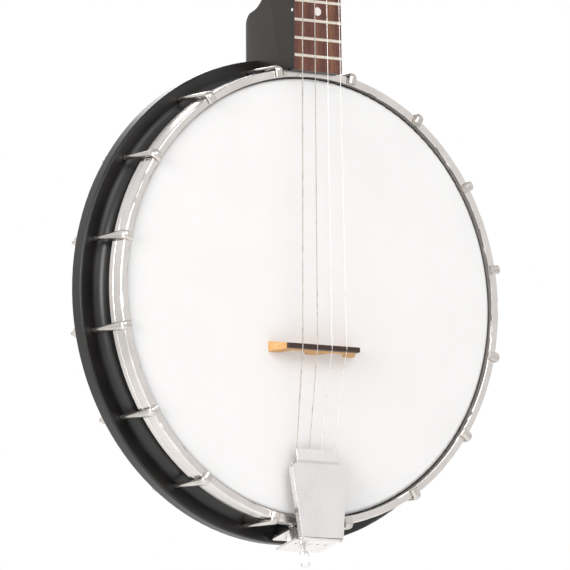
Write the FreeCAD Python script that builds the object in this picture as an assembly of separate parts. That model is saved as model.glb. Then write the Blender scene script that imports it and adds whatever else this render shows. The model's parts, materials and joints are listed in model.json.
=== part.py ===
# Short-scale tenor banjo, open at the back: a moulded pot with a flange, a frosted head under a
# notched tension hoop, a painted bolt-on neck with a slotted board, and a clamshell tailpiece.
#
# Frame: +Z runs up the neck, the head faces -Y, and the origin is the centre of the pot's flat back
# edge. "Depth" is measured backwards from the head's playing face, so y = depth - RIM_DEPTH.

import FreeCAD
import Part
import math
import os

V = FreeCAD.Vector
X_AXIS, Y_AXIS, Z_AXIS = V(1, 0, 0), V(0, 1, 0), V(0, 0, 1)

# ---------------------------------------------------------------- driving dimensions, millimetres
SCALE_LENGTH = 533.4            # a 21 inch scale
FRET_COUNT = 17
BRIDGE_Z = -35.7                # where the strings cross the bridge, above the pot's centre
BRIDGE_HEIGHT = 17.0

RIM_DEPTH = 62.0
RIM_INNER_R = 138.5
RIM_OUTER_R = 149.3
FLANGE_R = 166.0
FLANGE_FRONT = 32.0             # depths of the flange's two faces
FLANGE_BACK = 43.0
FLANGE_COVE = 8.0
HEEL_NOTCH = 19.8               # half width of the gap in the flange that the heel passes through

HOOP_INNER_R = 150.4
HOOP_OUTER_R = 156.2
HOOP_FRONT = -3.0               # the hoop stands 3 mm proud of the head
HOOP_BACK = 7.0
FLESH_BACK = 13.1
FILM = 0.35                     # thickness of the head's film

HOOK_COUNT = 16
HOOK_TURN = 0.6                 # the hooks' circle is turned a little on the neck's line, degrees
HOOK_R = 1.75                   # radius of a bracket hook's rod
CLAW_HALF = 3.1                 # the rod flares to a claw of this half width and half thickness
CLAW_THIN = 1.6
CLAW_SEAT = 0.2                 # depth of the notch in the hoop that the claw lies in
HOOK_CIRCLE = 158.1             # radius of the circle that the rods stand on
HOOK_BEND = 2.2
HOOK_FLARE_END = 24.0           # depth at which the rod is round again
HOOK_END = 57.0                 # depth of the rods' threaded ends

ROD_DEPTH = 20.0                # depth of the coordinator rod and of both bolts in line with it
BOLT_R = 3.0

BOARD_END_Z = 153.7
BOARD_FRONT = -9.0              # depth of the board's face at its lower end
BOARD_THICKNESS = 5.0
BOARD_HALF_END = 19.8
BOARD_HALF_NUT = 15.9
NECK_ANGLE = 0.8                # the neck leans back from the head's plane, degrees
NECK_BACK = 21.0                # board face to the back of the neck
HEEL_BACK = 70.0                # board face to the heel's cap

NUT_WIDTH = 5.0
NUT_STEP = 7.4                  # string spacing at the nut, the bridge, the tailpiece's lip and the pegs
BRIDGE_STEP = 12.2
TAIL_STEP = 10.4
PEG_STEP = 8.6
STRING_RADII = (0.42, 0.34, 0.26, 0.20)   # bass string first, at -X

HEADSTOCK_ANGLE = 13.0
HEADSTOCK_THICKNESS = 14.0
VENEER = 1.5
POST_X = 21.0
POST_ROWS = (42.0, 92.0)        # up the headstock from the nut

GEAR_TEETH = 16
GEAR_MODULE = 0.72
WORM_PITCH_R = 2.3
WORM_CREST_R = 2.8
WORM_SHAFT_R = 1.5
PLATE_THICKNESS = 1.2
POST_R = 3.0
POST_WAIST_R = 2.5

COVER_FRONT_Z = -104.0          # the tailpiece's string end and its tail end
COVER_TAIL_Z = -164.6
COVER_TAIL_DEPTH = -15.0
COVER_SLOPE = 5.25              # degrees
HINGE_Z = -165.4
HINGE_DEPTH = -12.2
END_TILT = 13.6                 # the end wall falls away behind the hinge, degrees
END_WALL_LENGTH = 29.0
END_WALL_HALF = 18.0
ADJUSTER_BACK = 21.5            # hinge to the adjusting screw, along the end wall
STRAP_HALF = 12.0
STRAP_RISE = 11.3               # end wall to the strap that ties the tailpiece to the pot

# ---------------------------------------------------------------- what follows from them
HEAD_Y = -RIM_DEPTH
NUT_Z = BRIDGE_Z + SCALE_LENGTH
NUT_TOP_Z = NUT_Z + NUT_WIDTH
BOARD_Y = HEAD_Y + BOARD_FRONT
GEAR_PITCH_R = GEAR_MODULE * GEAR_TEETH / 2
WORM_OFFSET = GEAR_PITCH_R + WORM_PITCH_R
HOOK_ANGLES = [(i + 0.5) * 360.0 / HOOK_COUNT + HOOK_TURN for i in range(HOOK_COUNT)]


def turn_about_x(degrees, y, z):
    return FreeCAD.Placement(V(0, 0, 0), FreeCAD.Rotation(X_AXIS, degrees), V(0, y, z))


NECK_PLACE = turn_about_x(-NECK_ANGLE, BOARD_Y, BOARD_END_Z)
HEAD_PLACE = NECK_PLACE.multiply(turn_about_x(-HEADSTOCK_ANGLE, BOARD_Y + BOARD_THICKNESS, NUT_TOP_Z))
END_PLACE = turn_about_x(-END_TILT, HEAD_Y + HINGE_DEPTH, HINGE_Z)
TAIL_PLACE = turn_about_x(-COVER_SLOPE, HEAD_Y + COVER_TAIL_DEPTH, COVER_TAIL_Z)


# ---------------------------------------------------------------- small tools
def at_depth(depth):
    return HEAD_Y + depth


def placed(shape, place):
    copy = shape.copy()
    copy.Placement = place.multiply(copy.Placement)
    return copy


def block(x0, x1, y0, y1, z0, z1):
    return Part.makeBox(x1 - x0, y1 - y0, z1 - z0, V(x0, y0, z0))


def rod(radius, start, end):
    return Part.makeCylinder(radius, start.distanceToPoint(end), start, end - start)


def tube(outer, inner, start, end):
    return rod(outer, start, end).cut(rod(inner, start, end))


def ball(radius, centre):
    return Part.makeSphere(radius, centre)


def line(a, b):
    return Part.LineSegment(a, b).toShape()


def arc(a, middle, b):
    return Part.Arc(a, middle, b).toShape()


def curve(points):
    spline = Part.BSplineCurve()
    spline.interpolate(points)
    return spline.toShape()


def polygon(points):
    return Part.Face(Part.makePolygon(points + [points[0]]))


def face_of(edges):
    return Part.Face(Part.Wire(edges))


def extruded(face, direction):
    return face.extrude(direction)


def fused(shapes):
    joined = shapes[0]
    if len(shapes) > 1:
        joined = shapes[0].multiFuse(shapes[1:])
    return joined.removeSplitter()


def hexagon(across_flats, start, end, bore=None):
    """A hexagonal prism along Z or Y, from start to end, with a round bore."""
    corner = across_flats / math.sqrt(3)
    along = end - start
    side = X_AXIS
    up = along.cross(side).normalize()
    corners = []
    for i in range(6):
        angle = math.radians(60 * i)
        corners.append(start + side * (corner * math.cos(angle)) + up * (corner * math.sin(angle)))
    prism = extruded(polygon(corners), along)
    if bore:
        prism = prism.cut(rod(bore, start, end))
    return prism


def spun(edges):
    """A ring: a closed profile in the XY plane turned about the pot's axis."""
    return face_of(edges).revolve(V(0, 0, 0), Y_AXIS, 360)


def on_profile(radius, depth):
    return V(radius, at_depth(depth), 0)


def rounded_ring(inner, outer, front, back, corner):
    """A ring of rectangular section with its two outer corners and its inner front corner rounded."""
    bulge = corner * (1 - math.sqrt(0.5))
    p = on_profile
    return spun([
        line(p(inner, back), p(inner, front + corner)),
        arc(p(inner, front + corner), p(inner + bulge, front + bulge), p(inner + corner, front)),
        line(p(inner + corner, front), p(outer - corner, front)),
        arc(p(outer - corner, front), p(outer - bulge, front + bulge), p(outer, front + corner)),
        line(p(outer, front + corner), p(outer, back - corner)),
        arc(p(outer, back - corner), p(outer - bulge, back - bulge), p(outer - corner, back)),
        line(p(outer - corner, back), p(inner, back)),
    ])


def around_pot(shape):
    """Copies of a piece built above the pot's centre, one at each bracket hook."""
    copies = []
    for angle in HOOK_ANGLES:
        copy = shape.copy()
        copy.rotate(V(0, 0, 0), Y_AXIS, angle)
        copies.append(copy)
    return Part.makeCompound(copies)


# ---------------------------------------------------------------- the pot
def make_rim():
    """One moulding: a wall with a bearing edge, and a flange that a cove joins to it."""
    p = on_profile
    bearing, edge = 2.0, 1.5
    back_r = RIM_OUTER_R - 1.3
    cove_middle = FLANGE_COVE * (1 - math.sqrt(0.5))
    round_off = edge * (1 - math.sqrt(0.5))
    bearing_off = bearing * (1 - math.sqrt(0.5))
    wall = spun([
        line(p(RIM_INNER_R, 3), p(RIM_OUTER_R - 4, 0)),
        line(p(RIM_OUTER_R - 4, 0), p(RIM_OUTER_R - bearing, 0)),
        arc(p(RIM_OUTER_R - bearing, 0), p(RIM_OUTER_R - bearing_off, bearing_off), p(RIM_OUTER_R, bearing)),
        line(p(RIM_OUTER_R, bearing), p(RIM_OUTER_R, FLANGE_BACK)),
        line(p(RIM_OUTER_R, FLANGE_BACK), p(back_r, RIM_DEPTH - edge)),
        arc(p(back_r, RIM_DEPTH - edge), p(back_r - round_off, RIM_DEPTH - round_off),
            p(back_r - edge, RIM_DEPTH)),
        line(p(back_r - edge, RIM_DEPTH), p(RIM_INNER_R, RIM_DEPTH)),
        line(p(RIM_INNER_R, RIM_DEPTH), p(RIM_INNER_R, 3)),
    ])
    inside = RIM_OUTER_R - 2
    flange = spun([
        line(p(inside, FLANGE_BACK), p(inside, FLANGE_FRONT - FLANGE_COVE)),
        line(p(inside, FLANGE_FRONT - FLANGE_COVE), p(RIM_OUTER_R, FLANGE_FRONT - FLANGE_COVE)),
        arc(p(RIM_OUTER_R, FLANGE_FRONT - FLANGE_COVE),
            p(RIM_OUTER_R + cove_middle, FLANGE_FRONT - cove_middle),
            p(RIM_OUTER_R + FLANGE_COVE, FLANGE_FRONT)),
        line(p(RIM_OUTER_R + FLANGE_COVE, FLANGE_FRONT), p(FLANGE_R - edge, FLANGE_FRONT)),
        arc(p(FLANGE_R - edge, FLANGE_FRONT), p(FLANGE_R - round_off, FLANGE_FRONT + round_off),
            p(FLANGE_R, FLANGE_FRONT + edge)),
        line(p(FLANGE_R, FLANGE_FRONT + edge), p(FLANGE_R, FLANGE_BACK - edge)),
        arc(p(FLANGE_R, FLANGE_BACK - edge), p(FLANGE_R - round_off, FLANGE_BACK - round_off),
            p(FLANGE_R - edge, FLANGE_BACK)),
        line(p(FLANGE_R - edge, FLANGE_BACK), p(inside, FLANGE_BACK)),
    ])
    notch = block(-HEEL_NOTCH, HEEL_NOTCH, at_depth(20), at_depth(50), 100, FLANGE_R + 5)
    rim = wall.fuse(flange.cut(notch))
    hook_hole = rod(HOOK_R + 0.3, V(0, at_depth(20), HOOK_CIRCLE), V(0, at_depth(50), HOOK_CIRCLE))
    bolt_hole = rod(BOLT_R + 0.2, V(0, at_depth(ROD_DEPTH), -180), V(0, at_depth(ROD_DEPTH), 180))
    return rim.cut(around_pot(hook_hole)).cut(bolt_hole).removeSplitter()


def make_head():
    """The film: a flat playing face, a rounded crown and a collar that hangs into the flesh hoop."""
    p = on_profile
    outer = RIM_OUTER_R + 0.1 + FILM
    crown = 2.2
    middle = crown * (1 - math.sqrt(0.5))
    collar = FLESH_BACK - 1
    inner_crown = crown - FILM
    inner_middle = FILM + inner_crown * (1 - math.sqrt(0.5))
    return spun([
        line(p(0, 0), p(0, -FILM)),
        line(p(0, -FILM), p(outer - crown, -FILM)),
        arc(p(outer - crown, -FILM), p(outer - middle, middle - FILM), p(outer, crown - FILM)),
        line(p(outer, crown - FILM), p(outer, collar)),
        line(p(outer, collar), p(outer - FILM, collar)),
        line(p(outer - FILM, collar), p(outer - FILM, crown - FILM)),
        arc(p(outer - FILM, crown - FILM), p(outer - inner_middle, inner_middle - FILM), p(outer - crown, 0)),
        line(p(outer - crown, 0), p(0, 0)),
    ])


def make_tension_hoop():
    ring = rounded_ring(HOOP_INNER_R, HOOP_OUTER_R, HOOP_FRONT, HOOP_BACK, 1.2)
    half = CLAW_HALF + 0.35
    notch = block(-half, half, at_depth(HOOP_FRONT - 1), at_depth(HOOP_FRONT + CLAW_SEAT),
                  HOOP_INNER_R - 2, HOOP_OUTER_R + 2)
    return ring.cut(around_pot(notch))


def make_flesh_hoop():
    return rounded_ring(RIM_OUTER_R + FILM + 0.2, HOOP_OUTER_R - 0.3, HOOP_BACK + 0.1, FLESH_BACK, 1.2)


def hook_section(depth, half_width, half_thickness):
    """The rod's section across the pot's axis, at the top of the hook circle."""
    centre = V(0, at_depth(depth), HOOK_CIRCLE)
    if half_width == half_thickness:
        return Part.Wire(Part.makeCircle(half_width, centre, Y_AXIS))
    oval = Part.Ellipse(centre + V(half_width, 0, 0), centre + V(0, 0, half_thickness), centre)
    return Part.Wire(oval.toShape())


def make_hook():
    """Round at its threaded end, flared towards a flat claw that turns over the hoop into a notch."""
    bend_depth = HOOP_FRONT + CLAW_SEAT - CLAW_THIN - 0.05 + HOOK_BEND
    claw = hook_section(bend_depth, CLAW_HALF, CLAW_THIN)
    flare = Part.makeLoft([claw, hook_section(HOOK_FLARE_END, HOOK_R, HOOK_R)], True)
    straight = rod(HOOK_R, V(0, at_depth(HOOK_FLARE_END), HOOK_CIRCLE), V(0, at_depth(HOOK_END), HOOK_CIRCLE))
    pivot = V(0, at_depth(bend_depth), HOOK_CIRCLE - HOOK_BEND)
    elbow = Part.Face(claw).revolve(pivot, X_AXIS, 90)
    turned = Part.Face(claw)
    turned.rotate(pivot, X_AXIS, 90)
    tip = turned.extrude(V(0, 0, HOOP_INNER_R + 1.2 - (HOOK_CIRCLE - HOOK_BEND)))
    return fused([flare, straight, elbow, tip])


def make_hook_nut():
    start = FLANGE_BACK + 1.1
    end = start + 9
    return hexagon(6.4, V(0, at_depth(start), HOOK_CIRCLE), V(0, at_depth(end), HOOK_CIRCLE), HOOK_R + 0.05)


def make_hook_washer():
    return tube(4.4, HOOK_R + 0.15, V(0, at_depth(FLANGE_BACK + 0.05), HOOK_CIRCLE),
                V(0, at_depth(FLANGE_BACK + 1.05), HOOK_CIRCLE))


# ---------------------------------------------------------------- the rod that braces the pot
def on_rod(z):
    return V(0, at_depth(ROD_DEPTH), z)


ROD_HALF = 126.0
SOCKET = 20.0


def make_coordinator_rod():
    """A steel rod with a threaded socket in each end."""
    body = rod(4.75, on_rod(-ROD_HALF), on_rod(ROD_HALF))
    for end in (-1, 1):
        body = body.cut(rod(BOLT_R + 0.05, on_rod(end * (ROD_HALF - SOCKET)), on_rod(end * (ROD_HALF + 1))))
    return body


def make_rod_nuts():
    """A nut and a plain washer on each bolt, against the inside of the wall."""
    pieces = []
    for end in (-1, 1):
        low, high = sorted((end * (ROD_HALF + 4.2), end * (ROD_HALF + 10.2)))
        pieces.append(hexagon(11.0, on_rod(low), on_rod(high), BOLT_R + 0.05))
        low, high = sorted((end * (ROD_HALF + 10.4), end * (ROD_HALF + 12.2)))
        pieces.append(tube(7.5, BOLT_R + 0.15, on_rod(low), on_rod(high)))
    return Part.makeCompound(pieces)


HEEL_BOLT_TOP = 186.0


def make_heel_bolt():
    """A hanger bolt: its wood screw end is in the heel and its other end is in the rod."""
    return rod(BOLT_R, on_rod(ROD_HALF - SOCKET + 4), on_rod(HEEL_BOLT_TOP))


# ---------------------------------------------------------------- the neck
def neck_y(thickness_below_face):
    return BOARD_Y + thickness_below_face


def board_half_width(z):
    share = (z - BOARD_END_Z) / (NUT_Z - BOARD_END_Z)
    return BOARD_HALF_END + share * (BOARD_HALF_NUT - BOARD_HALF_END)


def board_outline(low, high, y):
    return polygon([V(-board_half_width(low), y, low), V(board_half_width(low), y, low),
                    V(board_half_width(high), y, high), V(-board_half_width(high), y, high)])


def fret_z(number):
    return BRIDGE_Z + SCALE_LENGTH * 2 ** (-number / 12)


def shaft_section(z, depth):
    """A flat top under the board and a rounded back."""
    half = board_half_width(z)
    top = neck_y(BOARD_THICKNESS)
    back = neck_y(depth)
    left, right = V(-half, top, z), V(half, top, z)
    shoulder = top + 0.42 * (back - top)
    rounded = curve([left, V(-0.93 * half, shoulder, z), V(-0.62 * half, top + 0.86 * (back - top), z),
                     V(0, back, z), V(0.62 * half, top + 0.86 * (back - top), z),
                     V(0.93 * half, shoulder, z), right])
    return Part.Wire([line(right, left), rounded])


# Half of the heel's plan, as half width and distance below the board's face, and its side profile
# up to the back of the neck, as distance below the board's face and height.
HEEL_SIDE = ((19.8, 5), (19.6, 20), (18.8, 36), (17.6, 50), (16.4, 60), (14.4, 66), (10.5, 69))
HEEL_TOP = ((71, 186), (66, 192.5), (62, 197.5), (58, 200.2), (53.5, 201.2), (47.5, 202.8), (40.5, 207.3),
            (33, 214), (27, 223.5), (23, 236), (21.2, 250))


def make_heel():
    """The heel's plan, cut to its side profile."""
    side = [V(-x, neck_y(t), 140) for x, t in HEEL_SIDE]
    across = [V(x, neck_y(t), 140) for x, t in reversed(HEEL_SIDE)]
    plan = face_of([curve(side + [V(0, neck_y(HEEL_BACK), 140)] + across), line(across[-1], side[0])])
    prism = extruded(plan, V(0, 0, 110))
    shoulder = [V(-30, neck_y(t), z) for t, z in HEEL_TOP]
    foot, top = V(-30, neck_y(HEEL_TOP[0][0]), 130), V(-30, neck_y(5), 130)
    brow = V(-30, neck_y(5), HEEL_TOP[-1][1])
    profile = face_of([line(top, foot), line(foot, shoulder[0]), curve(shoulder),
                       line(shoulder[-1], brow), line(brow, top)])
    outline = extruded(board_outline(140, 250, neck_y(5)), V(0, 80, 0))
    return prism.common(extruded(profile, V(60, 0, 0))).common(outline)


# Half of the headstock's outline: distance from the centre line, and height above the nut.
CREST = ((33.5, 118.0), (22.0, 126.0), (9.0, 124.5), (0.0, 128.0))
FLANK = ((15.9, 0.0), (18.5, 9.0), (27.5, 19.0), (31.5, 32.0), (31.0, 70.0), (33.5, 118.0))


def headstock_slab(front, back, start=0.0):
    """The outline between two thicknesses below the board's underside, in the headstock's frame."""
    y = neck_y(BOARD_THICKNESS + front)
    right = [V(x, y, NUT_TOP_Z + z) for x, z in FLANK]
    left = [V(-x, y, NUT_TOP_Z + z) for x, z in reversed(FLANK)]
    crest = [V(x, y, NUT_TOP_Z + z) for x, z in CREST]
    crest += [V(-x, y, NUT_TOP_Z + z) for x, z in reversed(CREST[:-1])]
    low_left, low_right = V(-FLANK[0][0], y, NUT_TOP_Z + start), V(FLANK[0][0], y, NUT_TOP_Z + start)
    edges = [curve(right), curve(crest), curve(left)]
    if start < 0:
        edges += [line(left[-1], low_left), line(low_left, low_right), line(low_right, right[0])]
    else:
        edges += [line(left[-1], right[0])]
    return extruded(face_of(edges), V(0, back - front, 0))


def post_centres():
    """String order: bass side low, bass side high, treble side high, treble side low."""
    low, high = POST_ROWS
    return ((-POST_X, low), (-POST_X, high), (POST_X, high), (POST_X, low))


def head_point(x, thickness, z):
    """A point of the headstock before it is tilted: thickness below its face, height above the nut."""
    return V(x, neck_y(BOARD_THICKNESS + thickness), NUT_TOP_Z + z)


TRUSS_DEPTH = 12.0              # the truss rod's centre below the board's face
TRUSS_POCKET_END = 22.0
COVER_SCREWS = ((-6.6, 4.2), (6.6, 4.2), (0.0, 30.0))


def truss_pocket():
    corners = ((-5, -3), (5, -3), (5, TRUSS_POCKET_END), (-5, TRUSS_POCKET_END))
    return extruded(polygon([head_point(x, -1, z) for x, z in corners]), V(0, 11.4, 0))


def cover_screw_shanks(room=0.0):
    return [rod(1.0 + room, head_point(x, -1.85, z), head_point(x, 6 + room, z)) for x, z in COVER_SCREWS]


def plate_screw_places():
    places = []
    for x, z in post_centres():
        outward = math.copysign(1, x)
        places += [(x, z - 13.2), (x - 6.2 * outward, z + 6.6)]
    return places


def plate_screw_shanks(room=0.0):
    back = HEADSTOCK_THICKNESS
    return [rod(1.1 + room, head_point(x, back - 8 - room, z), head_point(x, back + PLATE_THICKNESS, z))
            for x, z in plate_screw_places()]


def make_neck():
    shaft = Part.makeLoft([shaft_section(225, NECK_BACK + 0.6), shaft_section(360, NECK_BACK - 0.6),
                           shaft_section(NUT_TOP_Z - 4, NECK_BACK - 2)], True)
    slab = headstock_slab(VENEER, HEADSTOCK_THICKNESS, -9.0)
    slab = placed(slab, turn_about_x(-HEADSTOCK_ANGLE, neck_y(BOARD_THICKNESS), NUT_TOP_Z))
    slab = slab.cut(block(-40, 40, neck_y(-20), neck_y(BOARD_THICKNESS), NUT_Z - 40, NUT_TOP_Z))
    throat_sections = [shaft_section(z, NECK_BACK - 2) for z in (NUT_TOP_Z - 4, NUT_TOP_Z)]
    throat = Part.makeLoft(throat_sections, True, True)
    neck = make_heel().multiFuse([shaft, throat, slab])
    channel = block(-3.2, 3.2, neck_y(BOARD_THICKNESS - 1), neck_y(TRUSS_DEPTH + 3.1), 176, NUT_TOP_Z + 2)
    neck = placed(neck.cut(channel), NECK_PLACE)
    neck = neck.cut(placed(truss_pocket(), HEAD_PLACE))
    for x, z in post_centres():
        hole = rod(3.6, head_point(x, -1, z), head_point(x, HEADSTOCK_THICKNESS + 1, z))
        seat = rod(4.6, head_point(x, -1, z), head_point(x, 7.1, z))
        neck = neck.cut(placed(hole.fuse(seat), HEAD_PLACE))
    pilots = cover_screw_shanks(0.03) + plate_screw_shanks(0.03)
    neck = neck.cut(placed(Part.makeCompound(pilots), HEAD_PLACE))
    hoop_room = rod(HOOP_OUTER_R + 0.4, V(0, at_depth(-30), 0), V(0, at_depth(FLESH_BACK + 0.4), 0))
    wall_room = rod(RIM_OUTER_R + 0.1, V(0, at_depth(FLESH_BACK), 0), V(0, at_depth(100), 0))
    bolt_hole = rod(BOLT_R + 0.05, on_rod(120), on_rod(HEEL_BOLT_TOP + 1))
    return neck.cut(hoop_room).cut(wall_room).cut(bolt_hole).removeSplitter()


def make_fingerboard():
    board = extruded(board_outline(BOARD_END_Z, NUT_Z, BOARD_Y), V(0, BOARD_THICKNESS, 0))
    slots = []
    for number in range(1, FRET_COUNT + 1):
        z = fret_z(number)
        half = board_half_width(z) - 0.75
        slots.append(block(-half, half, neck_y(-1), neck_y(2.2), z - 0.3, z + 0.3))
    board = board.cut(Part.makeCompound(slots))
    board = board.cut(Part.makeCompound([dot_at(x, z, 0.05, 1.6) for x, z in dot_places()]))
    board = board.cut(Part.makeCompound([side_dot(z, 0.03, 1.6) for z in side_dot_places()]))
    return placed(board, NECK_PLACE)


def make_frets():
    """Nickel wire: a crown on the board's face and a shorter tang in its slot."""
    frets = []
    for number in range(1, FRET_COUNT + 1):
        z = fret_z(number)
        half = board_half_width(z) - 0.2
        crown = rod(1.2, V(-half, neck_y(0.2), z), V(half, neck_y(0.2), z))
        crown = crown.common(block(-half, half, neck_y(-2), neck_y(-0.02), z - 2, z + 2))
        tang = block(-half + 0.6, half - 0.6, neck_y(-0.1), neck_y(2), z - 0.25, z + 0.25)
        frets.append(crown.fuse(tang))
    return placed(Part.makeCompound(frets), NECK_PLACE)


MARKED_FRETS = (3, 5, 7, 10, 12, 15)
DOT_R = 2.9


def between_frets(number):
    return (fret_z(number) + fret_z(number - 1)) / 2


def dot_places():
    places = []
    for number in MARKED_FRETS:
        spread = (-7.5, 7.5) if number == 12 else (0,)
        places += [(x, between_frets(number)) for x in spread]
    return places


def side_dot_places():
    places = []
    for number in MARKED_FRETS:
        shifts = (-3, 3) if number == 12 else (0,)
        places += [between_frets(number) + shift for shift in shifts]
    return places


def dot_at(x, z, room=0.0, depth=1.5):
    return rod(DOT_R + room, V(x, neck_y(-0.02), z), V(x, neck_y(depth), z))


def side_dot(z, room=0.0, depth=1.5):
    edge = -board_half_width(z)
    return rod(1.1 + room, V(edge - 0.3, neck_y(2.6), z), V(edge + depth, neck_y(2.6), z))


def make_inlays():
    """Face dots, and smaller dots on the board's bass edge, all flush."""
    dots = [dot_at(x, z).cut(block(-30, 30, neck_y(-2), neck_y(0), z - 5, z + 5)) for x, z in dot_places()]
    face = polygon([V(-board_half_width(z), BOARD_Y, z) for z in (BOARD_END_Z, NUT_Z)]
                   + [V(30, BOARD_Y, NUT_Z), V(30, BOARD_Y, BOARD_END_Z)])
    inside = extruded(face, V(0, BOARD_THICKNESS, 0))
    dots += [side_dot(z).common(inside) for z in side_dot_places()]
    return placed(Part.makeCompound(dots), NECK_PLACE)


NUT_STRING = -1.7               # the strings' height at the nut, thickness below the board's face


def string_x(step, index):
    return step * (index - 1.5)


def make_nut():
    """Bone, with a slot for each string that slopes down to the tuners."""
    nut = block(-BOARD_HALF_NUT, BOARD_HALF_NUT, neck_y(-2.4), neck_y(BOARD_THICKNESS),
                NUT_Z + 0.05, NUT_TOP_Z)
    nut = placed(nut, NECK_PLACE)
    for index, radius in enumerate(STRING_RADII):
        lip, bridge, crest, touch = string_route(index)
        beyond = crest + (touch - crest) * (10 / crest.distanceToPoint(touch))
        room = radius + 0.06
        slot = rod(room, crest + (bridge - crest) * 0.01, crest).fuse(rod(room, crest, beyond))
        left = min(crest.x, beyond.x) - radius - 0.06
        right = max(crest.x, beyond.x) + radius + 0.06
        floor = [(crest.y, crest.z - 3), (crest.y, crest.z), (beyond.y, beyond.z)]
        ceiling = [(beyond.y - 6, beyond.z), (crest.y - 6, crest.z - 3)]
        side = polygon([V(left, y, z) for y, z in floor + ceiling])
        nut = nut.cut(slot).cut(extruded(side, V(right - left, 0, 0)))
    return nut


def make_headstock_veneer():
    veneer = headstock_slab(0.0, VENEER - 0.02)
    for x, z in post_centres():
        veneer = veneer.cut(rod(4.6, head_point(x, -1, z), head_point(x, 3, z)))
    pilots = Part.makeCompound(cover_screw_shanks(0.03))
    foot = block(-30, 30, neck_y(-5), neck_y(20), NUT_TOP_Z - 5, NUT_TOP_Z + 0.4)
    return placed(veneer.cut(truss_pocket()).cut(pilots).cut(foot), HEAD_PLACE)


def make_truss_rod():
    rod_body = rod(2.6, V(0, neck_y(TRUSS_DEPTH), 178), V(0, neck_y(TRUSS_DEPTH), NUT_TOP_Z + 1.0))
    anchor = block(-3.1, 3.1, neck_y(TRUSS_DEPTH - 3.3), neck_y(TRUSS_DEPTH + 2.9), 178, 186)
    thread = rod(1.6, V(0, neck_y(TRUSS_DEPTH), NUT_TOP_Z), V(0, neck_y(TRUSS_DEPTH), NUT_TOP_Z + 8))
    return placed(fused([rod_body, anchor, thread]), NECK_PLACE)


def make_truss_nut():
    """A long nut on the rod's threaded end, with a hexagonal socket for a key."""
    nut = rod(2.9, V(0, neck_y(TRUSS_DEPTH), NUT_TOP_Z + 1.6), V(0, neck_y(TRUSS_DEPTH), NUT_TOP_Z + 13))
    y = neck_y(TRUSS_DEPTH)
    nut = nut.cut(rod(1.65, V(0, y, NUT_TOP_Z + 1), V(0, y, NUT_TOP_Z + 9)))
    socket = hexagon(3.2, V(0, y, NUT_TOP_Z + 9.5), V(0, y, NUT_TOP_Z + 14))
    return placed(nut.cut(socket), NECK_PLACE)


COVER_OUTLINE = ((9.4, 0.4), (9.6, 8), (9.4, 16), (6.6, 25), (4.8, 31.0), (0.0, 34.5))


def make_truss_cover():
    """A bell-shaped plate over the pocket."""
    right = [head_point(x, -1.8, z) for x, z in COVER_OUTLINE]
    left = [head_point(-x, -1.8, z) for x, z in reversed(COVER_OUTLINE[:-1])]
    face = face_of([curve(right + left), line(left[-1], right[0])])
    cover = extruded(face, V(0, 1.75, 0))
    for x, z in COVER_SCREWS:
        cover = cover.cut(rod(1.1, head_point(x, -3, z), head_point(x, 1, z)))
    return placed(cover, HEAD_PLACE)


def make_cover_screws():
    screws = []
    for (x, z), shank in zip(COVER_SCREWS, cover_screw_shanks()):
        trim = rod(2.0, head_point(x, -3.4, z), head_point(x, -1.85, z))
        dome = ball(2.4, head_point(x, -0.6, z)).common(trim)
        screws.append(dome.fuse(shank))
    return placed(Part.makeCompound(screws), HEAD_PLACE)


# ---------------------------------------------------------------- the tuners
WORM_LEVEL = HEADSTOCK_THICKNESS + PLATE_THICKNESS + 3.1      # thickness below the headstock's face
POST_TOP = -14.5
STRING_LEVEL = -9.2


def make_tuner_plate():
    """A back plate with two ears that carry the worm's shaft; it serves the post at the origin."""
    back = HEADSTOCK_THICKNESS
    plate = block(-8.5, 8.5, neck_y(BOARD_THICKNESS + back), neck_y(BOARD_THICKNESS + back + PLATE_THICKNESS),
                  NUT_TOP_Z - 15.5, NUT_TOP_Z + 9.5)
    plate = plate.makeFillet(2.5, [e for e in plate.Edges
                                   if e.BoundBox.YLength > 1 and e.BoundBox.XLength < 0.01
                                   and e.BoundBox.ZLength < 0.01])
    for x in (-5.6, 5.6):
        root = block(x - 0.7, x + 0.7, neck_y(BOARD_THICKNESS + back), neck_y(BOARD_THICKNESS + WORM_LEVEL),
                     NUT_TOP_Z - WORM_OFFSET - 2.6, NUT_TOP_Z - WORM_OFFSET + 2.6)
        eye = rod(2.6, head_point(x - 0.7, WORM_LEVEL, -WORM_OFFSET),
                  head_point(x + 0.7, WORM_LEVEL, -WORM_OFFSET))
        plate = plate.fuse(root).fuse(eye)
    plate = plate.cut(rod(WORM_SHAFT_R + 0.05, head_point(-9, WORM_LEVEL, -WORM_OFFSET),
                          head_point(9, WORM_LEVEL, -WORM_OFFSET)))
    plate = plate.cut(rod(POST_R + 0.06, head_point(0, back - 1, 0), head_point(0, back + 3, 0)))
    for x, z in ((0, -13.2), (-6.2, 6.6)):
        plate = plate.cut(rod(1.3, head_point(x, back - 1, z), head_point(x, back + 3, z)))
    return plate.removeSplitter()


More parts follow.
